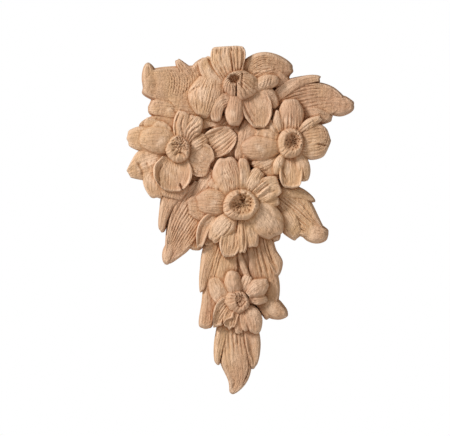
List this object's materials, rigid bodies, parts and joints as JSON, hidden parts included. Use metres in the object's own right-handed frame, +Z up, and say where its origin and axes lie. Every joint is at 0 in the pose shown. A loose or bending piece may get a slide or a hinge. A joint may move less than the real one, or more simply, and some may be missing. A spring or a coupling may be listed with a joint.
{
  "type": "wood applique",
  "caption": "Carved wood applique: a hanging drop of flowers over fluted acanthus leaves, flat at the back for fixing to furniture or panels.",
  "frame": {"origin": "the fixing point in the middle of the flat back, on the mount back", "axes": "+Z up along the drop's height, +Y out of the flat back into the surface it is fixed to; the carving faces -Y"},
  "size_m": [0.1413, 0.022, 0.2163],
  "materials": {
    "wood": "bare, sanded lightly, matt"
  },
  "bodies": {
    "root": {"applique": "wood"}
  },
  "joints": []
}
